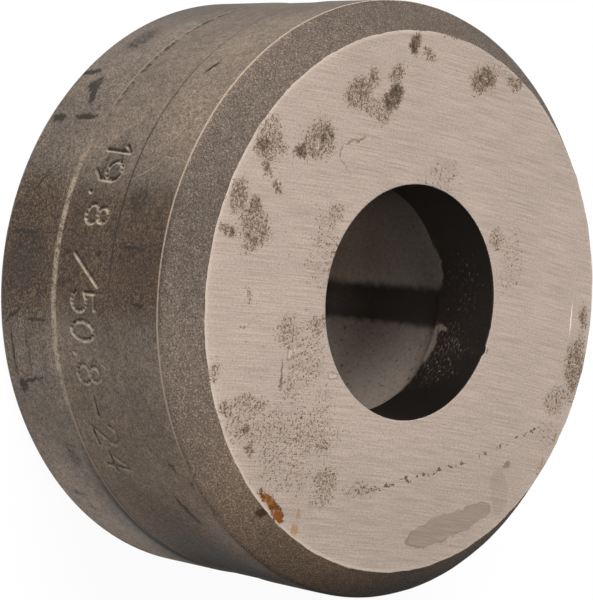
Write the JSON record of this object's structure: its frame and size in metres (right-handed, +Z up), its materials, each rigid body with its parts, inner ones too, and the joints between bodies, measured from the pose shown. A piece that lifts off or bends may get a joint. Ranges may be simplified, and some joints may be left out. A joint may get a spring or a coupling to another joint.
{
  "type": "ironworker die",
  "caption": "Round steel punching die: ground cutting face, chamfered nose, straight cutting land, a wider slug hole below and a shallow marking band round the body.",
  "frame": {"origin": "centre of the seat face, on the bore axis", "axes": "+Z up the bore from the seat to the cutting face; the struck sizes face -Y"},
  "size_m": [0.0508, 0.0508, 0.024],
  "materials": {
    "tool_steel": "ground cutting face with dark pits; grainy brown-grey scale from hardening on the rest"
  },
  "bodies": {
    "root": {"die": "tool_steel"}
  },
  "joints": []
}
